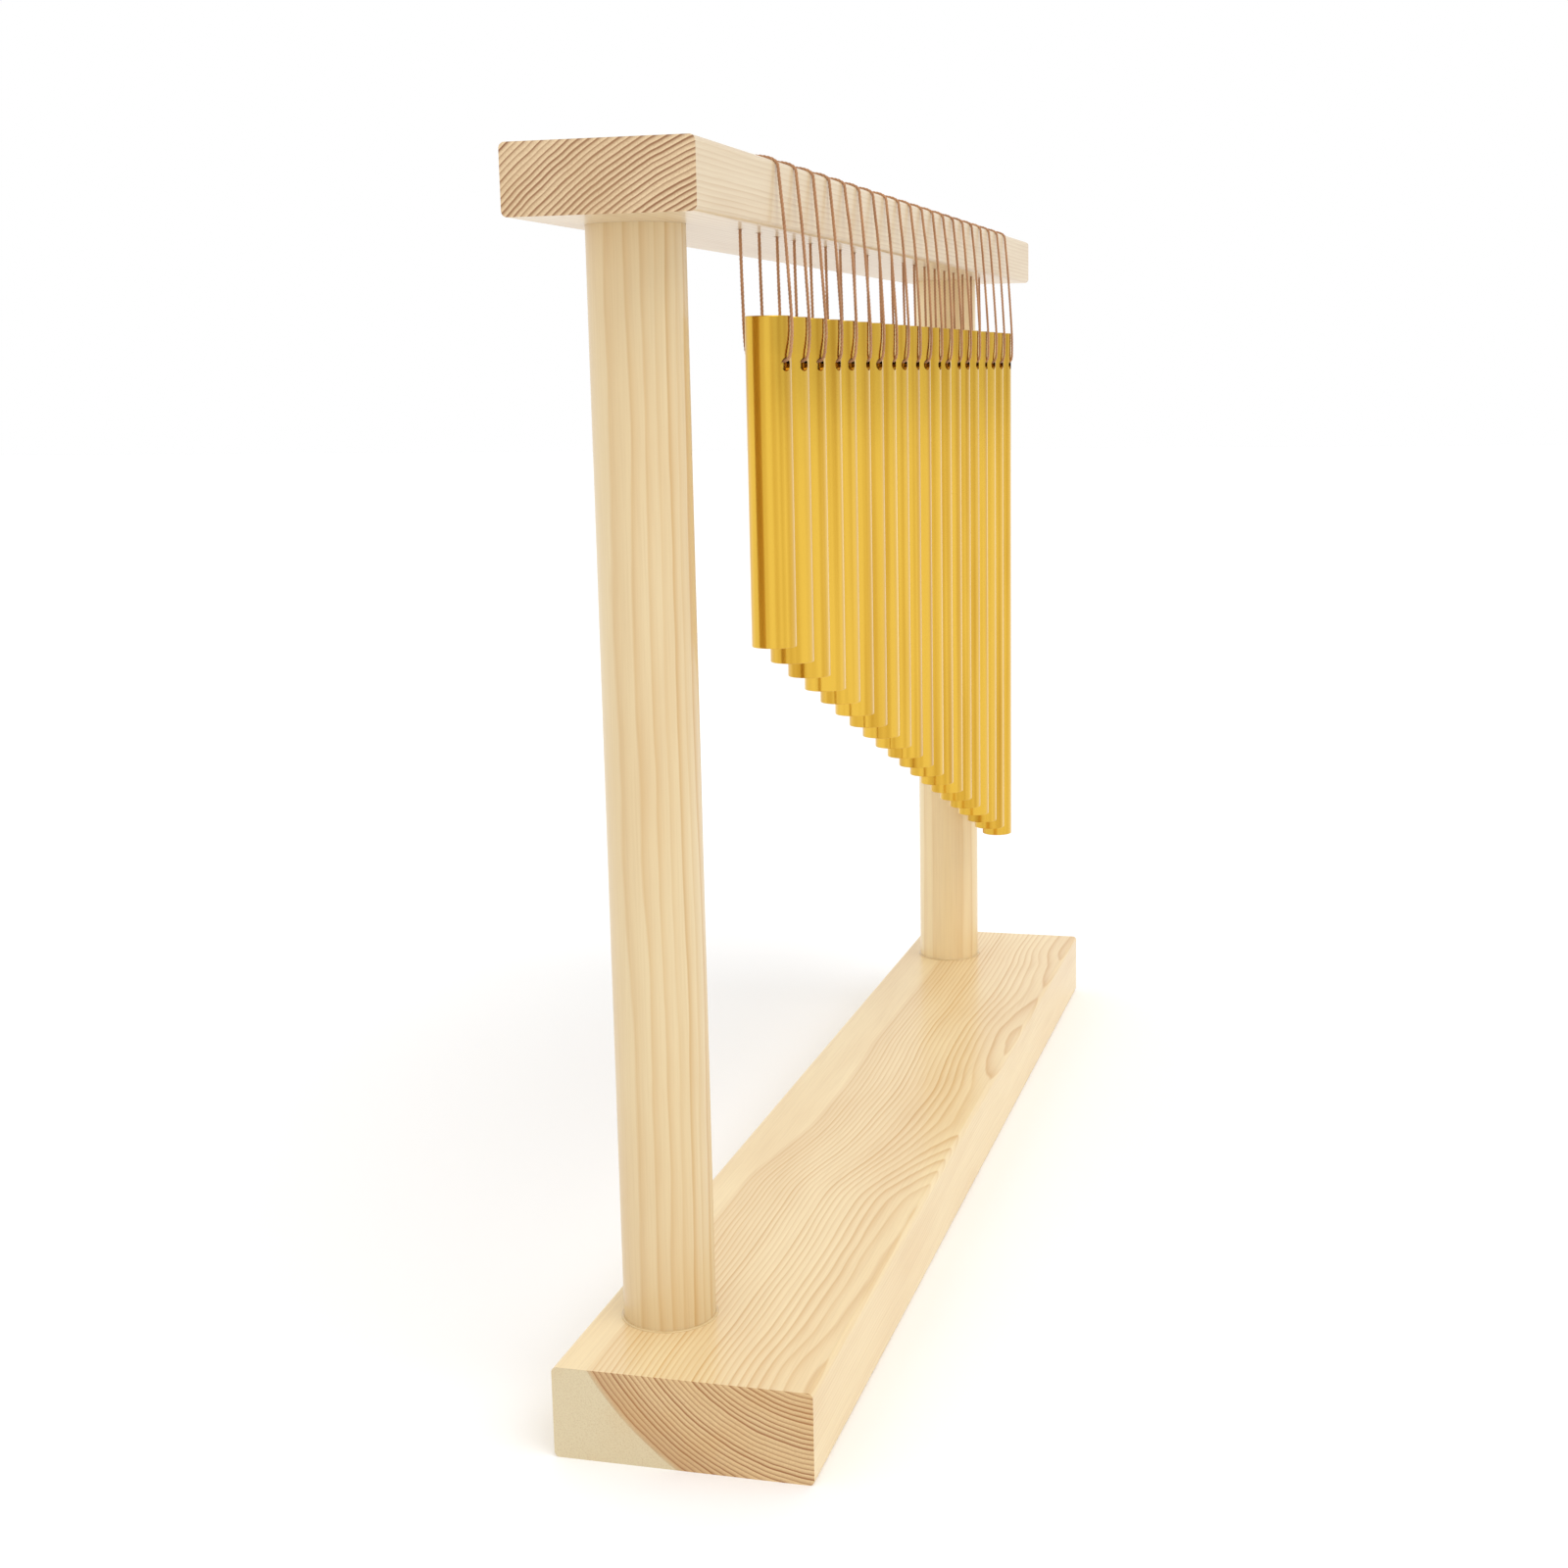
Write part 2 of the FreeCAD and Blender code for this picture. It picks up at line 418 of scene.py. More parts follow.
@dataclass(frozen=True)
class Pine:
    """Lacquered pine, cut from a log whose growth rings run round a middle line.

    The rings show as arcs on the ends, and as lines and pointed figures on the faces, because
    one ring pattern fills the whole piece. The heart is the log's middle line, seen from the
    origin. Outside plain_from the wood is pale and has no rings, and a brown stain leads to it.
    """

    name: str
    grain: Grain
    heart: Triple
    ring_gap: float
    face_wood: Colour
    end_wood: Colour
    late_wood: Colour
    end_late_wood: Colour
    face_rings: float
    end_rings: float
    wander: float
    seed: float
    figure: float = 5.0
    bend_at: float = 0.0
    bend_length: float = 80.0 * MM
    bend_size: float = 0.0
    # Painted highlight: how much the rings pale on faces that look to the front and back.
    painted_front_glare: float = 0.0
    plain_wood: Colour = (0.760, 0.620, 0.400)
    plain_from: float = BEYOND_THE_LOG
    plain_edge: float = 1.2 * MM
    stain_width: float = 1.0 * MM
    stain_on_faces: float = 0.26
    stain_more_on_ends: float = 0.16
    ripple: Mottle = Mottle(along=24.0, across=140.0, detail=2.0, rough=0.5, shift=3.0)
    ripple_size: float = 0.5
    late_rise: float = 2.3
    late_fall: float = 8.0
    late_depth: float = 1.35
    palest_year: float = 0.40
    year_spread: float = 0.75
    fibre: Mottle = Mottle(along=35.0, across=1900.0, detail=3.0, rough=0.6, shift=7.0)
    cloud: Mottle = Mottle(along=9.0, across=45.0, detail=2.0, rough=0.5, shift=11.0)
    pores: Mottle = Mottle(along=2600.0, across=2600.0, detail=2.0, rough=0.6, shift=13.0)
    fibre_tone: float = 0.34
    pore_tone: float = 0.8

    def material(self) -> bpy.types.Material:
        """Builds the finish.

        Returns:
            The material.
        """
        palette = Palette(self.name)
        parts = palette.axes("Object", self.heart)
        radius = self._radius(palette, parts)
        ripple = palette.noise(self.ripple, self.grain, self.seed) - 0.5
        rings = (radius + ripple * (self.ripple_size * self.ring_gap)) / self.ring_gap
        turn = rings.fraction()
        late = (turn ** self.late_rise) * ((1.0 - turn) * self.late_fall).kept() * self.late_depth
        year = palette.node(
            "ShaderNodeTexWhiteNoise", {"noise_dimensions": "1D"}, {"W": rings.floor()}
        )
        late = late * (self.palest_year + self.year_spread * palette.value(year))
        # Painted highlight: the rings fade on faces that look to the front and back, standing in
        # for light washing out the front face.
        late = late * (1.0 - self.painted_front_glare * abs(palette.axes("Normal")[1]))
        inside = ((self.plain_from - radius) / self.plain_edge).kept()
        stain = ((radius - self.plain_from) / self.stain_width + 1.0).kept() * inside
        return self._colour(palette, late, inside, stain)

    def _radius(self, palette: Palette, parts: Sequence[Value]) -> Value:
        """How far a place is from the log's middle line, with the log's own unevenness.

        Args:
            palette: The material in the making.
            parts: The place, seen from the middle line.

        Returns:
            The distance in metres.
        """
        across = [parts[axis] for axis in range(3) if axis != self.grain.value]
        figure = Mottle(along=self.figure, across=7.0, detail=2.0, rough=0.45)
        drift = palette.noise(figure, self.grain, self.seed) - 0.5
        swing = ((parts[self.grain.value] - self.bend_at) / self.bend_length + 0.5).kept()
        bend = swing * swing * (3.0 - 2.0 * swing) * self.bend_size
        return (across[0] ** 2.0 + across[1] ** 2.0) ** 0.5 + drift * self.wander + bend

    def _colour(
        self, palette: Palette, late: Value, inside: Value, stain: Value
    ) -> bpy.types.Material:
        """Colours the wood and lacquers it.

        Args:
            palette: The material in the making.
            late: Where the dark part of each ring is.
            inside: 1 where the wood has rings and 0 in its plain pale part.
            stain: How brown the wood is just inside its plain pale part.

        Returns:
            The material.
        """
        cut = palette.facing(self.grain.value, least=0.5, rise=4.0)
        fibre = palette.noise(self.fibre, self.grain, self.seed)
        cloud = palette.noise(self.cloud, self.grain, self.seed)
        pores = palette.noise(self.pores, self.grain, self.seed)
        rings = palette.blend(cut, self.late_wood, self.end_late_wood)
        ground = palette.blend(cut, self.face_wood, self.end_wood)
        plain = palette.blend(cut, self.face_wood, self.plain_wood)
        stained = stain * (self.stain_on_faces + self.stain_more_on_ends * cut)
        ground = palette.blend(inside, plain, palette.blend(stained, ground, rings))
        strength = self.face_rings + cut * (self.end_rings - self.face_rings)
        weight = late * inside * strength * (0.55 + 0.9 * cloud)
        colour = palette.blend(weight.kept(), ground, rings)
        warm = palette.blend(((cloud - 0.42) * 0.9).kept(), colour, self.late_wood)
        tone = (fibre - 0.42) * (self.fibre_tone * (1.0 - cut))
        tone = tone + (pores - 0.45) * (self.pore_tone * cut)
        shaded = palette.blend(tone.kept(), warm, self.end_late_wood)
        palette.relief(late * 0.6 + fibre * 0.4, depth=0.06 * MM, strength=0.5)
        return palette.finish(
            base_color=shaded,
            roughness=0.34 + 0.16 * fibre + 0.2 * cut,
            coat_weight=0.35 - 0.25 * cut,
            coat_roughness=0.16,
        )


@dataclass(frozen=True)
class GoldTube:
    """Gold anodised aluminium tube, drawn lengthwise, so that fine lines run up and down it."""

    name: str
    gold: Colour
    # The deeper gold serves the tube's own uneven tone and the painted reflection stripes.
    deep_gold_and_reflection: Colour
    cut_gold: Colour
    lines: Mottle = Mottle(along=9.0, across=2400.0, detail=3.0, rough=0.6)
    # Painted reflection: lengthwise stripes standing in for neighbouring tubes seen in the metal.
    reflection_bands: Mottle = Mottle(along=2.0, across=380.0, detail=1.0, rough=0.5, shift=15.0)
    cloud: Mottle = Mottle(along=12.0, across=70.0, detail=2.0, rough=0.5, shift=4.0)
    smudge: Mottle = Mottle(along=90.0, across=160.0, detail=3.0, rough=0.55, shift=9.0)
    line_tone: float = 0.25
    cloud_tone: float = 0.9
    reflection_band_tone: float = 2.8
    polish: float = 0.13

    def material(self) -> bpy.types.Material:
        """Builds the finish.

        Returns:
            The material.
        """
        palette = Palette(self.name)
        lines, reflection_bands = palette.noise(self.lines), palette.noise(self.reflection_bands)
        cloud, smudge = palette.noise(self.cloud), palette.noise(self.smudge)
        rim = palette.facing(Grain.UPRIGHT.value, least=0.7, rise=5.0)
        share = self.line_tone * lines + self.cloud_tone * (cloud - 0.35)
        # Painted reflection: the bands mix in stripes of deeper gold, as if neighbouring tubes
        # were reflected in the tube.
        share = share + self.reflection_band_tone * (reflection_bands - 0.5)
        colour = palette.blend(share.kept(), self.gold, self.deep_gold_and_reflection)
        colour = palette.blend(rim * 0.7, colour, self.cut_gold)
        palette.relief(lines, depth=0.004 * MM, strength=0.6)
        rubbed = 0.12 * (smudge - 0.4).kept()
        return palette.finish(
            base_color=colour,
            metallic=1.0,
            roughness=self.polish + 0.1 * lines + rubbed + 0.15 * rim,
        )


@dataclass(frozen=True)
class Thread:
    """Twisted brown thread with a soft, slightly hairy surface."""

    name: str
    dark: Colour
    light: Colour
    hair: Mottle = Mottle(along=1500.0, across=5200.0, detail=3.0, rough=0.65)
    dye: Mottle = Mottle(along=120.0, across=240.0, detail=2.0, rough=0.5, shift=5.0)
    hair_tone: float = 0.55
    dye_tone: float = 0.75

    def material(self) -> bpy.types.Material:
        """Builds the finish.

        Returns:
            The material.
        """
        palette = Palette(self.name)
        hair, dye = palette.noise(self.hair), palette.noise(self.dye)
        share = (self.hair_tone * hair + self.dye_tone * (dye - 0.25)).kept()
        palette.relief(hair, depth=0.05 * MM, strength=0.7)
        return palette.finish(
            base_color=palette.blend(share, self.dark, self.light),
            roughness=0.62 + 0.25 * hair,
            sheen_weight=0.25,
            sheen_roughness=0.5,
        )


@dataclass(frozen=True)
class ZincPlate:
    """Bright zinc on the post screws, with faint tumbling marks."""

    name: str
    zinc: Colour
    dull: Colour
    marks: Mottle = Mottle(along=900.0, across=900.0, detail=4.0, rough=0.6)

    def material(self) -> bpy.types.Material:
        """Builds the finish.

        Returns:
            The material.
        """
        palette = Palette(self.name)
        marks = palette.noise(self.marks)
        palette.relief(marks, depth=0.02 * MM, strength=0.5)
        return palette.finish(
            base_color=palette.blend(marks, self.zinc, self.dull),
            metallic=1.0,
            roughness=0.26 + 0.2 * marks,
        )


@dataclass(frozen=True)
class DriedGlue:
    """Clear yellowish wood glue that squeezed out and dried."""

    name: str
    thin: Colour
    thick: Colour
    pool: Mottle = Mottle(along=420.0, across=420.0, detail=2.0, rough=0.5)

    def material(self) -> bpy.types.Material:
        """Builds the finish.

        Returns:
            The material.
        """
        palette = Palette(self.name)
        pool = palette.noise(self.pool)
        palette.relief(pool, depth=0.1 * MM, strength=0.5)
        return palette.finish(
            base_color=palette.blend(pool, self.thin, self.thick),
            roughness=0.28 + 0.1 * pool,
            coat_weight=0.4,
            coat_roughness=0.1,
        )


@dataclass(frozen=True)
class StudioPaint:
    """Matt white paint on the studio floor."""

    name: str
    white: Colour
    shade: Colour
    roller: Mottle = Mottle(along=3.0, across=3.0, detail=3.0, rough=0.5)

    def material(self) -> bpy.types.Material:
        """Builds the finish.

        Returns:
            The material.
        """
        palette = Palette(self.name)
        colour = palette.blend(palette.noise(self.roller), self.white, self.shade)
        return palette.finish(base_color=colour, roughness=0.9)


BAR_PINE = Pine(
    name="bar_pine",
    grain=Grain.LENGTHWISE,
    heart=(0.0, -0.052, 0.2265),
    ring_gap=1.3 * MM,
    face_wood=(0.720, 0.580, 0.375),
    end_wood=(0.755, 0.565, 0.340),
    late_wood=(0.560, 0.370, 0.185),
    end_late_wood=(0.285, 0.130, 0.052),
    face_rings=0.55,
    end_rings=1.7,
    wander=3.0 * MM,
    seed=1.7,
)
BASE_PINE = Pine(
    name="base_pine",
    grain=Grain.LENGTHWISE,
    heart=(0.0, -0.040, 0.062),
    ring_gap=1.35 * MM,
    face_wood=(0.850, 0.675, 0.385),
    end_wood=(0.715, 0.510, 0.260),
    late_wood=(0.600, 0.330, 0.100),
    end_late_wood=(0.330, 0.145, 0.050),
    face_rings=0.78,
    end_rings=1.6,
    wander=9.0 * MM,
    seed=5.3,
    figure=7.0,
    bend_at=-60.0 * MM,
    bend_length=75.0 * MM,
    bend_size=6.0 * MM,
    # Painted highlight: the base's front and back faces lose most of their rings, as if washed out
    # by light.
    painted_front_glare=0.6,
    plain_wood=(0.660, 0.555, 0.355),
    plain_from=74.3 * MM,
    stain_width=13.0 * MM,
)
SHORT_POST_PINE = Pine(
    name="short_post_pine",
    grain=Grain.UPRIGHT,
    heart=(-0.150, -0.034, 0.0),
    ring_gap=3.1 * MM,
    face_wood=(0.735, 0.580, 0.335),
    end_wood=(0.690, 0.510, 0.300),
    late_wood=(0.590, 0.360, 0.135),
    end_late_wood=(0.400, 0.210, 0.090),
    face_rings=0.78,
    end_rings=0.9,
    wander=8.0 * MM,
    seed=9.1,
)
# The far post's face wood is paler, partly its own pine and partly painted light that makes up for
# the less light it gets.
LONG_POST_PINE = Pine(
    name="long_post_pine",
    grain=Grain.UPRIGHT,
    heart=(0.110, 0.004, 0.0),
    ring_gap=4.1 * MM,
    face_wood=(0.880, 0.715, 0.420),
    end_wood=(0.690, 0.510, 0.300),
    late_wood=(0.680, 0.430, 0.170),
    end_late_wood=(0.400, 0.210, 0.090),
    face_rings=0.45,
    end_rings=0.9,
    wander=6.0 * MM,
    seed=14.9,
)
GOLD = GoldTube(
    name="gold_tube",
    gold=(0.765, 0.480, 0.066),
    deep_gold_and_reflection=(0.560, 0.300, 0.030),
    cut_gold=(0.880, 0.640, 0.220),
)
BROWN_THREAD = Thread(
    name="brown_thread", dark=(0.250, 0.100, 0.038), light=(0.690, 0.370, 0.175)
)
ZINC = ZincPlate(name="zinc_plate", zinc=(0.66, 0.67, 0.69), dull=(0.48, 0.49, 0.50))
GLUE = DriedGlue(name="dried_glue", thin=(0.740, 0.560, 0.290), thick=(0.560, 0.380, 0.160))
STUDIO = StudioPaint(name="studio_paint", white=(0.97, 0.97, 0.97), shade=(0.95, 0.95, 0.95))


# ---------------------------------------------------------------- the stand


@dataclass
class Stand:
    """The pine boards, posts and screws, and the glue at the posts' feet.

    The glue swells and thins in waves round the post: how many, how high, and where they start.
    """

    base: str = "base_board"
    bar: str = "top_bar"
    posts: Tuple[str, str] = ("post_short_end", "post_long_end")
    screws: str = "post_screws"
    glue_thickness: float = 0.55 * MM
    glue_lean: float = 0.35
    glue_flatness: float = 0.75
    glue_waves: Tuple[Triple, ...] = ((3.0, 0.10, 0.7), (7.0, 0.07, 0.0), (13.0, 0.05, 0.0))
    glue_around: int = 96
    glue_section: int = 10

    def build(self) -> None:
        """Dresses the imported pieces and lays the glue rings."""
        dress(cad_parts[self.base], BASE_PINE.material())
        dress(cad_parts[self.bar], BAR_PINE.material())
        dress(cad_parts[self.posts[0]], SHORT_POST_PINE.material())
        dress(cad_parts[self.posts[1]], LONG_POST_PINE.material())
        dress(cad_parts[self.screws], ZINC.material())
        LOG.info("dressed the boards, posts and screws")
        glue = GLUE.material()
        deck = Span.of(self.base).high.z
        for post in self.posts:
            self._glue_ring(post, deck, glue)

    def _glue_ring(self, post: str, deck: float, glue: bpy.types.Material) -> None:
        """Lays a thin uneven ring of glue round a post's foot.

        Args:
            post: The post's name.
            deck: The height of the board's top, which the post stands in.
            glue: The glue's material.
        """
        span = Span.of(post)
        foot = Vector((span.centre.x, span.centre.y, deck))
        let_go()
        bpy.ops.mesh.primitive_torus_add(
            location=foot,
            major_radius=span.size.x / 2.0 + self.glue_thickness * self.glue_lean,
            minor_radius=self.glue_thickness,
            major_segments=self.glue_around,
            minor_segments=self.glue_section,
        )
        ring = settle(bpy.context.object, f"glue_{post}")
        for vertex in ring.data.vertices:
            out = vertex.co - foot
            swell = self._swell(math.atan2(out.y, out.x))
            aside = out.normalized() * (swell * self.glue_thickness * 0.5)
            height = deck + out.z * (self.glue_flatness + swell)
            vertex.co = (vertex.co.x + aside.x, vertex.co.y + aside.y, height)
        pick(ring)
        bpy.ops.object.shade_smooth()
        dress(ring, glue)
        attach(ring, "stand")
        LOG.info("laid %s", ring.name)

    def _swell(self, turn: float) -> float:
        """How much the glue swells at one place round the post."""
        return sum(high * math.sin(count * turn + start) for count, high, start in self.glue_waves)


# ---------------------------------------------------------------- the tubes


@dataclass
class TubePattern:
    """The shortest tube, upright with its top at the origin, from which all are copied."""

    radius: float
    length: float
    wall: float = 1.0 * MM
    rim_ease: float = 0.22 * MM
    rim_steps: int = 3
    around: int = 96
    hole_around: int = 40
    collar: float = 1.4
    smooth_below: float = math.radians(35.0)

    def build(self) -> bpy.types.Object:
        """Turns the wall's section about the axis and bores the cross hole.

        Returns:
            The pattern, with nothing selected in it, which the caller removes.
        """
        let_go()
        bpy.ops.mesh.primitive_plane_add(
            size=1.0,
            location=(self.radius - self.wall / 2.0, 0.0, -self.length / 2.0),
            rotation=(math.pi / 2.0, 0.0, 0.0),
        )
        tube = bpy.context.object
        tube.scale = (self.wall, self.length, 1.0)
        settle(tube, "tube_pattern")
        bpy.ops.object.mode_set(mode="EDIT")
        self._spin()
        self._collar()
        bpy.ops.object.mode_set(mode="OBJECT")
        self._bore(tube)
        pick(tube)
        bpy.ops.object.shade_smooth_by_angle(angle=self.smooth_below)
        bpy.ops.object.mode_set(mode="EDIT")
        bpy.ops.mesh.select_all(action="DESELECT")
        bpy.ops.object.mode_set(mode="OBJECT")
        return tube

    def _spin(self) -> None:
        """Eases the section's corners, keeps its outline alone and spins it into the wall."""
        bpy.ops.mesh.select_all(action="SELECT")
        bpy.ops.mesh.bevel(offset=self.rim_ease, segments=self.rim_steps, affect="VERTICES")
        bpy.ops.mesh.select_all(action="SELECT")
        bpy.ops.mesh.delete(type="ONLY_FACE")
        bpy.ops.mesh.select_all(action="SELECT")
        bpy.ops.mesh.spin(
            steps=self.around, angle=2.0 * math.pi, center=(0.0, 0.0, 0.0), axis=(0.0, 0.0, 1.0)
        )
        bpy.ops.mesh.select_all(action="SELECT")
        bpy.ops.mesh.remove_doubles(threshold=0.001 * MM)
        bpy.ops.mesh.normals_make_consistent(inside=False)

    def _collar(self) -> None:
        """Cuts the wall above and below the cross hole, so that the hole's faces stay near it."""
        for side in (-1.0, 1.0):
            bpy.ops.mesh.select_all(action="SELECT")
            level = -CROSS_HOLE_DROP + side * self.collar * CROSS_HOLE_RADIUS
            bpy.ops.mesh.bisect(plane_co=(0.0, 0.0, level), plane_no=(0.0, 0.0, 1.0))

    def _bore(self, tube: bpy.types.Object) -> None:
        """Bores the cross hole from front to back.

        Args:
            tube: The pattern.
        """
        let_go()
        bpy.ops.mesh.primitive_cylinder_add(
            vertices=self.hole_around,
            radius=CROSS_HOLE_RADIUS,
            depth=4.0 * self.radius,
            location=(0.0, 0.0, -CROSS_HOLE_DROP),
            rotation=(math.pi / 2.0, 0.0, 0.0),
        )
        drill = bpy.context.object
        pick(tube)
        cut = tube.modifiers.new("cross_hole", "BOOLEAN")
        cut.operation = "DIFFERENCE"
        cut.solver = "EXACT"
        cut.object = drill
        bpy.ops.object.modifier_apply(modifier=cut.name)
        bpy.data.objects.remove(drill)


@dataclass
class ChimeTube:
    """One tube of the row, turned a little about its own axis."""

    number: int
    turn: float

    @property
    def node(self) -> str:
        """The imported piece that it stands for."""
        return f"tube_{self.number:02d}"

    def build(self, pattern: bpy.types.Object, gold: bpy.types.Material) -> None:
        """Copies the pattern, draws it out to its length and hangs it in its place.

        Args:
            pattern: The shortest tube.
            gold: Its finish.
        """
        span = Span.of(self.node)
        tube = pattern.copy()
        tube.data = pattern.data.copy()
        bpy.context.scene.collection.objects.link(tube)
        pick(tube)
        for vertex in tube.data.vertices:
            vertex.select = vertex.co.z < -pattern.dimensions.z / 2.0
        bpy.ops.object.mode_set(mode="EDIT")
        bpy.ops.transform.translate(value=(0.0, 0.0, pattern.dimensions.z - span.size.z))
        bpy.ops.object.mode_set(mode="OBJECT")
        top = Matrix.Translation((span.centre.x, span.centre.y, span.high.z))
        tube.matrix_world = top @ Matrix.Rotation(self.turn, 4, "Z")
        settle(tube, f"gold_{self.node}")
        dress(tube, gold)
        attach(tube, f"chime_{self.number:02d}")
        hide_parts(self.node)
        LOG.info("hung %s, %.0f mm long", tube.name, span.size.z / MM)


# ---------------------------------------------------------------- the cords


@dataclass
class CordLoop:
    """One loop of cord, from its knot through the bar and the tube and over the bar's front edge.

    The tails' reach is in millimetres and their spread in degrees. Two places below the bar are
    worked out as shares of the gap between the bar and the tube, but nothing bends the cord there.
    """

    number: int
    turn: float
    bow: float
    thickness: float = 0.9 * MM
    strands: int = 3
    strand_share: float = 0.53
    coil_share: float = 0.5
    lay_length: float = 3.3 * MM
    step: float = 0.4 * MM
    tube_gap: float = 0.05 * MM
    knot_size: float = 0.30 * MM
    knot_width: float = 2.6 * MM
    knot_steps: int = 72
    tail_spread: Tuple[float, float] = (18.0, 50.0)
    tail_reach: Tuple[float, float] = (3.2, 5.0)
    bend_below_bar: float = 0.05
    bend_above_tube: float = 0.25

    def __post_init__(self) -> None:
        """Reads the places of the tube and the bar."""
        self.tube = Span.of(f"tube_{self.number:02d}")
        self.bar = Span.of("top_bar")
        self.half = self.thickness / 2.0
        self.knot = Vector(
            (
                self.tube.centre.x,
                self.tube.high.y + self.half + 0.5 * MM,
                self.bar.high.z + self.knot_width / 2.0 + 0.1 * MM,
            )
        )

    def route(self) -> List[Vector]:
        """The points that control the cord's line.

        The first number of each stop says how far it stands aside with the turned cross hole.

        Returns:
            The points, from the knot down the back, through the tube, up the front and back.
        """
        drop = self.knot.y
        back = self.tube.high.y + self.half + self.tube_gap
        front = self.tube.low.y - self.half - self.tube_gap
        top, under = self.tube.high.z, self.bar.low.z
        carry = top - CROSS_HOLE_DROP + CROSS_HOLE_RADIUS - self.half - 0.05 * MM
        aside = (self.tube.size.x / 2.0) * math.sin(self.turn)
        over = self.bar.high.z + self.half + 1.0 * MM
        face = self.bar.low.y - 0.35 * MM
        down_the_back = [
            (0.0, drop, self.knot.z - 0.65 * MM),
            (0.0, drop, under),
            (0.0, back, top),
            (0.2, back, carry + 5.4 * MM),
            (0.8, back + 0.1 * MM, carry + 1.9 * MM),
        ]
        through_the_tube = [
            (1.0, back - 0.6 * MM, carry - 0.4 * MM),
            (0.6, back - 3.6 * MM, carry - 0.15 * MM),
            (-0.6, front + 3.6 * MM, carry - 0.15 * MM),
            (-1.0, front + 0.8 * MM, carry - 0.4 * MM),
        ]
        up_the_front = [
            (-0.9, front - 0.1 * MM, carry + 1.2 * MM),
            (-0.25, front - 0.1 * MM, carry + 5.2 * MM),
            (0.0, front - 0.05 * MM, carry + 7.5 * MM),
            (0.0, front, top),
            (0.0, face - 1.7 * MM - self.bow, under),
            (0.0, face - 0.55 * MM, over - 6.2 * MM),
        ]
        over_the_bar = [
            (0.0, face, over),
            (0.0, drop - 0.65 * MM, self.knot.z - 0.4 * MM),
        ]
        stops = down_the_back + through_the_tube + up_the_front + over_the_bar
        return [Vector((self.tube.centre.x + share * aside, y, z)) for share, y, z in stops]

    def line(self) -> List[Vector]:
        """Reads the smooth line that the route's points control.

        Returns:
            Points along the line, one step apart.
        """
        data = bpy.data.curves.new(f"line_{self.number:02d}", "CURVE")
        data.dimensions = "3D"
        data.resolution_u = 16
        spline = data.splines.new("NURBS")
        route = self.route()
        spline.points.add(len(route) - 1)
        for point, place in zip(spline.points, route):
            point.co = (*place, 1.0)
        spline.order_u = 3
        spline.use_endpoint_u = True
        holder = bpy.data.objects.new(data.name, data)
        bpy.context.scene.collection.objects.link(holder)
        bpy.context.view_layer.update()
        read = bpy.data.meshes.new_from_object(holder)
        points = [vertex.co.copy() for vertex in read.vertices]
        bpy.data.objects.remove(holder)
        bpy.data.meshes.remove(read)
        return self.stepped(points)

    def stepped(self, points: Sequence[Vector]) -> List[Vector]:
        """Spaces points evenly along a line.

        Args:
            points: The line's points, unevenly spaced.

        Returns:
            Points about one step apart.
        """
        lengths = [0.0]
        for before, after in zip(points, points[1:]):
            lengths.append(lengths[-1] + (after - before).length)
        count = max(2, round(lengths[-1] / self.step))
        spaced, index = [], 0
        for number in range(count + 1):
            wanted = lengths[-1] * number / count
            while index < len(points) - 2 and lengths[index + 1] < wanted:
                index += 1
            run = max(lengths[index + 1] - lengths[index], 1e-9)
            share = (wanted - lengths[index]) / run
            spaced.append(points[index].lerp(points[index + 1], share))
        return spaced

    def knot_line(self) -> List[Vector]:
        """The middle line of the knot, a trefoil, which crosses itself three times.

        Returns:
            Its points.
        """
        points = []
        for number in range(self.knot_steps + 1):
            turn = 2.0 * math.pi * number / self.knot_steps
            trefoil = (
                math.sin(turn) + 2.0 * math.sin(2.0 * turn),
                math.cos(turn) - 2.0 * math.cos(2.0 * turn),
                -1.35 * math.sin(3.0 * turn) - 1.2,
            )
            points.append(self.knot + self.knot_size * Vector(trefoil))
        return self.stepped(points)

    def tails(self, chance: random.Random) -> List[List[Vector]]:
        """The two short cut ends that stick out of the knot and lie on the bar.

        Args:
            chance: Where the small differences between cords come from.

        Returns:
            The points of each end.
        """
        ends = []
        lie = self.bar.high.z + self.half + 0.05 * MM
        for side in (-1.0, 1.0):
            aim = math.radians(90.0 + side * chance.uniform(*self.tail_spread))
            reach = chance.uniform(*self.tail_reach) * MM
            out = Vector((math.cos(aim), math.sin(aim), 0.0))
            start = self.knot + out * 0.5 * MM
            stop = self.knot + out * (reach + 1.0 * MM)
            stop.z = lie
            bend = self.knot + out * (1.9 * MM)
            bend.z = lie + 0.35 * MM
            ends.append(self.stepped([start, bend, stop]))
        return ends

    def twisted(self, line: Sequence[Vector]) -> List[List[Vector]]:
        """Winds the strands about a line.

        Args:
            line: The middle line, in even steps.

        Returns:
            The points of each strand.
        """
        coil = self.half * self.coil_share
        side = (line[1] - line[0]).orthogonal().normalized()
        ahead = (line[1] - line[0]).normalized()
        wound: List[List[Vector]] = [[] for _ in range(self.strands)]
        gone = 0.0
        for index, place in enumerate(line):
            after = line[min(index + 1, len(line) - 1)]
            before = line[max(index - 1, 0)]
            tangent = (after - before).normalized()
            side = (ahead.rotation_difference(tangent) @ side).normalized()
            ahead = tangent
            for strand in range(self.strands):
                phase = 2.0 * math.pi * (gone / self.lay_length + strand / self.strands)
                wound[strand].append(place + Quaternion(tangent, phase) @ side * coil)
            gone += (after - place).length
        return wound

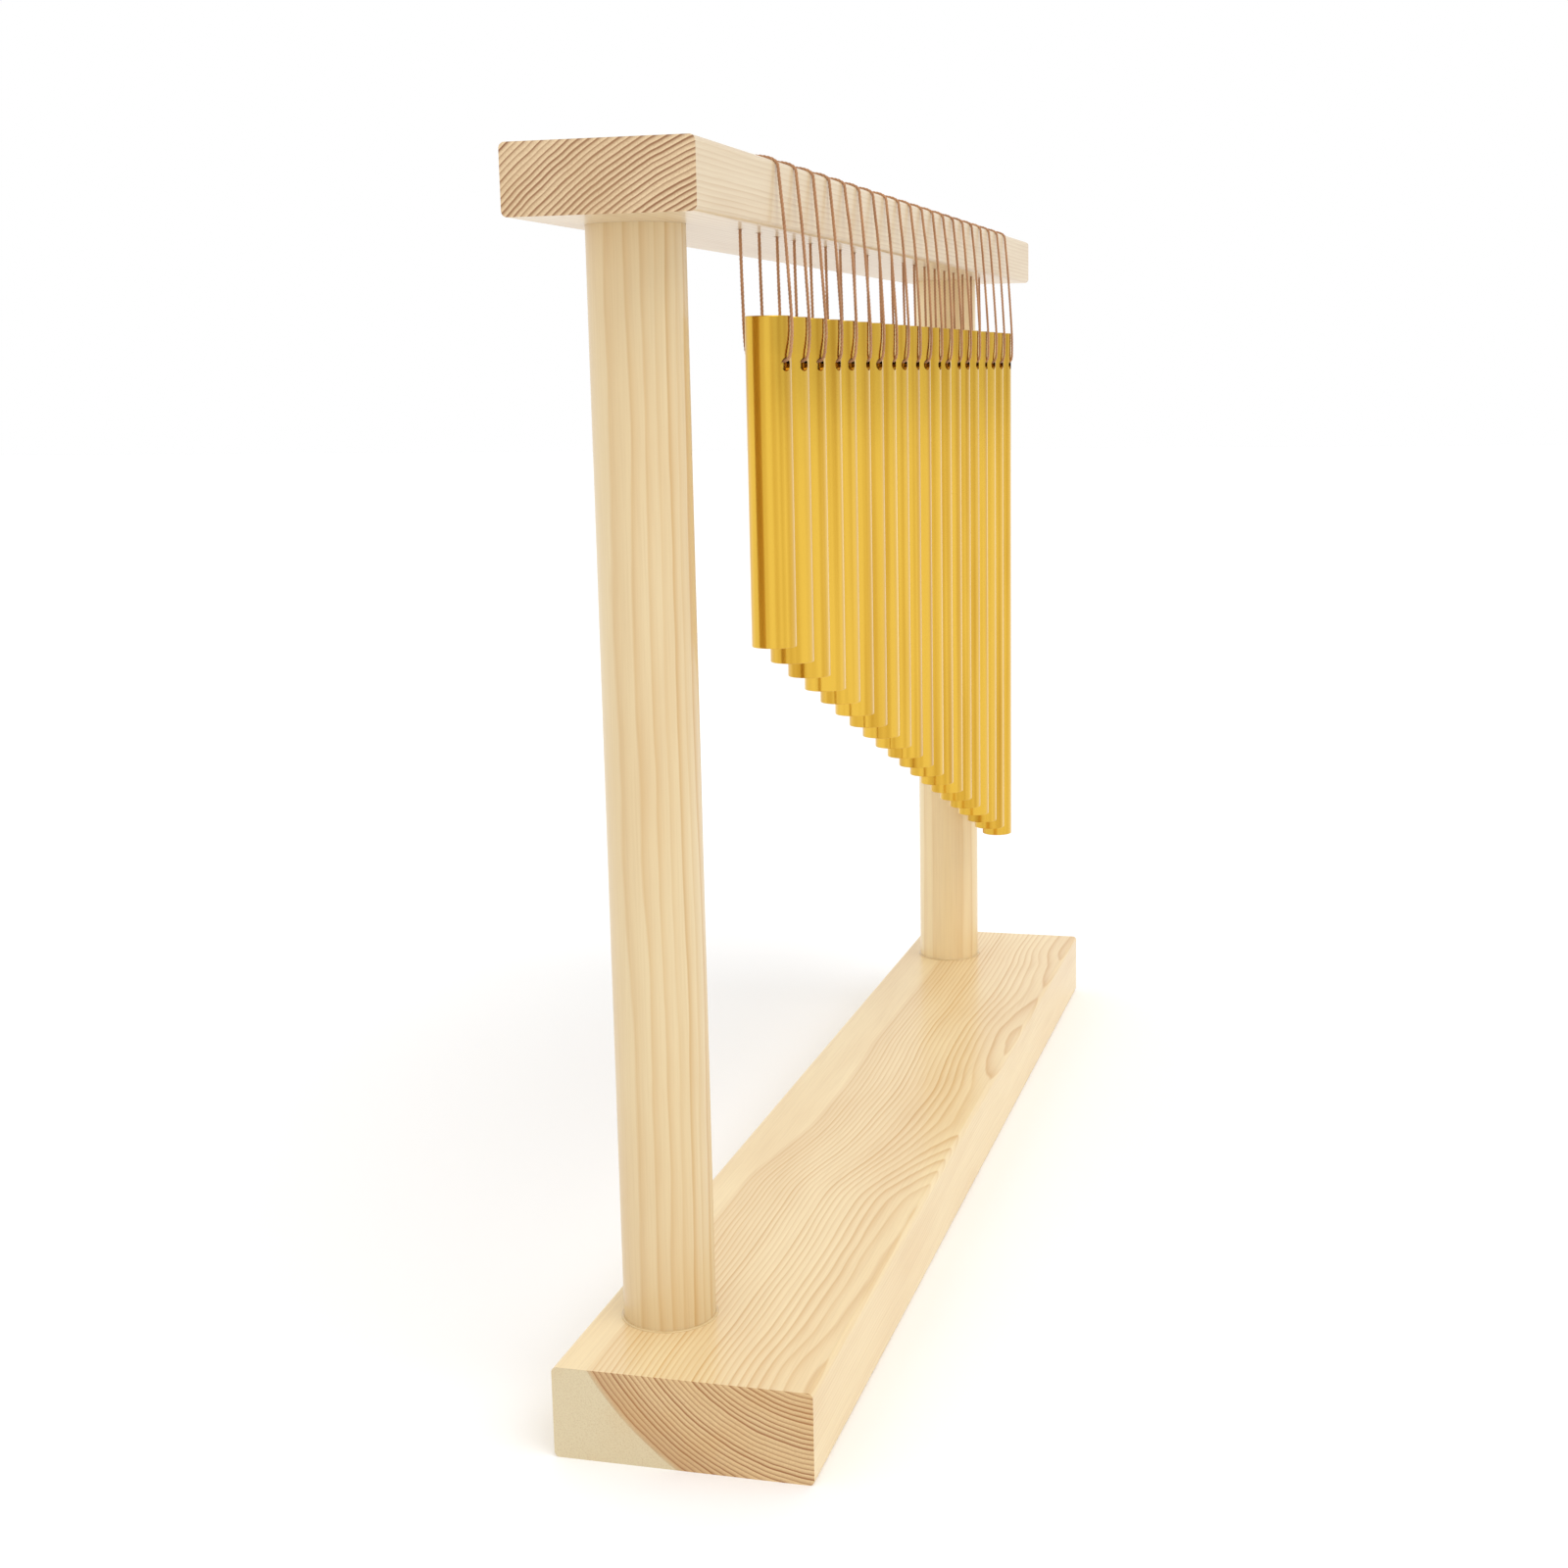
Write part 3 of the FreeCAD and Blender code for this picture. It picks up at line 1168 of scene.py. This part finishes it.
    def build(self, thread: bpy.types.Material, chance: random.Random) -> None:
        """Makes the loop, its knot and its ends as one piece.

        Args:
            thread: Its finish.
            chance: Where the small differences between cords come from.
        """
        data = bpy.data.curves.new(f"loop_{self.number:02d}", "CURVE")
        data.dimensions = "3D"
        data.bevel_depth = self.half * self.strand_share
        data.bevel_resolution = 1
        data.use_fill_caps = True
        line = self.line()
        for run in [line, self.knot_line(), *self.tails(chance)]:
            for strand in self.twisted(run):
                spline = data.splines.new("POLY")
                spline.points.add(len(strand) - 1)
                for point, place in zip(spline.points, strand):
                    point.co = (*place, 1.0)
        loop = bpy.data.objects.new(data.name, data)
        bpy.context.scene.collection.objects.link(loop)
        pick(loop)
        bpy.ops.object.convert(target="MESH")
        loop = settle(bpy.context.object, f"cord_loop_{self.number:02d}")
        bpy.ops.object.shade_smooth()
        dress(loop, thread)
        x, y = self.tube.centre.x, self.tube.centre.y
        hang = self.bar.low.z - self.tube.high.z
        start = (x, y, self.bar.low.z - self.bend_below_bar * hang)
        end = (x, y, self.tube.high.z + self.bend_above_tube * hang)
        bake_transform(loop)
        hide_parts(f"cord_{self.number:02d}")
        length = sum((after - before).length for before, after in zip(line, line[1:]))
        LOG.info("looped %s, %.1f mm long", loop.name, length / MM)


@dataclass
class ChimeRow:
    """All the tubes and their cords.

    The near tubes' turns are given in degrees and the far ones are drawn by chance, as is the
    bow of each cord's front strand, in millimetres.
    """

    count: int = 20
    seed: int = 7
    near_turns: Tuple[float, ...] = (
        24.0, 22.0, 24.0, 12.0, 22.0, 5.0, 20.0, 7.0, 20.0, 7.0, 22.0, 4.0, 21.0, 9.0, 17.0,
    )
    far_turns: Tuple[float, float] = (2.0, 18.0)
    bows: Tuple[float, float] = (-0.1, 0.5)

    def build(self) -> None:
        """Hangs the row, each tube turned a little its own way."""
        chance = random.Random(self.seed)
        gold, thread = GOLD.material(), BROWN_THREAD.material()
        shortest = Span.of("tube_01")
        pattern = TubePattern(radius=shortest.size.x / 2.0, length=shortest.size.z).build()
        for number in range(1, self.count + 1):
            near = number <= len(self.near_turns)
            given = self.near_turns[number - 1] if near else chance.uniform(*self.far_turns)
            turn = -math.radians(given)
            ChimeTube(number, turn).build(pattern, gold)
            bow = chance.uniform(*self.bows) * MM
            CordLoop(number, -turn, bow).build(thread, chance)
        bpy.data.objects.remove(pattern)


# ---------------------------------------------------------------- the studio


@dataclass
class Studio:
    """The floor, the light and the camera.

    The sky is a little dimmer low on the cord side, past dim_from along that side's axis.
    """

    floor_size: float = 14.0
    sky: float = 1.0
    front_dimming: float = 0.22
    dim_from: float = -0.3
    dim_rise: float = 1.6
    sun_power: float = 0.85
    sun_spread: float = 45.0
    sun_place: Triple = (-0.5, -0.8, 1.3)
    sun_aim: Triple = (0.0, 0.0, 0.15)
    camera_place: Triple = (-0.71163, -0.17031, 0.27547)
    camera_right: Triple = (0.24743, -0.96879, -0.01521)
    camera_up: Triple = (0.18428, 0.03164, 0.98236)
    lens: float = 49.63
    sensor: float = 36.0
    shift: Tuple[float, float] = (-0.0375, 0.0)
    nearest: float = 0.01

    def build(self) -> None:
        """Lays the floor, and sets the light and the camera."""
        self._floor()
        self._sky()
        self._sun()
        self._camera()
        bpy.context.scene.view_settings.view_transform = "Standard"
        LOG.info("set the studio")

    def _floor(self) -> None:
        """Lays a plain pale floor under the base board."""
        let_go()
        bpy.ops.mesh.primitive_plane_add(size=self.floor_size, location=(0.0, 0.0, 0.0))
        floor = settle(bpy.context.object, "studio_floor")
        dress(floor, STUDIO.material())

    def _sky(self) -> None:
        """Sets a white sky, a little dimmer on the cord side."""
        world = bpy.data.worlds.new("studio_sky")
        world.use_nodes = True
        tree = world.node_tree
        where = tree.nodes.new("ShaderNodeTexCoord")
        parts = tree.nodes.new("ShaderNodeSeparateXYZ")
        tree.links.new(where.outputs["Generated"], parts.inputs[0])
        dim = ((self.dim_from - Value(tree, parts.outputs[1])) * self.dim_rise).kept()
        strength = self.sky - self.front_dimming * dim
        tree.links.new(strength.socket, tree.nodes["Background"].inputs["Strength"])
        tree.nodes["Background"].inputs["Color"].default_value = (1.0, 1.0, 1.0, 1.0)
        bpy.context.scene.world = world

    def _sun(self) -> None:
        """Sets one soft sun high on the cord side."""
        data = bpy.data.lights.new("soft_sun", "SUN")
        data.energy = self.sun_power
        data.angle = math.radians(self.sun_spread)
        sun = bpy.data.objects.new("soft_sun", data)
        bpy.context.scene.collection.objects.link(sun)
        sun.location = self.sun_place
        aim = Vector(self.sun_aim) - sun.location
        sun.rotation_mode = "QUATERNION"
        sun.rotation_quaternion = aim.to_track_quat("-Z", "Y")

    def _camera(self) -> None:
        """Places the camera at the short tubes' end, looking along the row."""
        right, up = Vector(self.camera_right), Vector(self.camera_up)
        turn = Matrix((right, up, right.cross(up))).transposed()
        data = bpy.data.cameras.new("camera")
        data.lens = self.lens
        data.sensor_width = self.sensor
        data.shift_x, data.shift_y = self.shift
        data.clip_start = self.nearest
        camera = bpy.data.objects.new("camera", data)
        bpy.context.scene.collection.objects.link(camera)
        camera.matrix_world = Matrix.Translation(self.camera_place) @ turn.to_4x4()
        bpy.context.scene.camera = camera


def main() -> None:
    """Builds everything in order."""
    logging.basicConfig(level=logging.INFO, format="%(name)s: %(message)s")
    Studio().build()
    ChimeRow().build()
    Stand().build()
    bpy.context.view_layer.update()


if __name__ == "__main__":
    main()
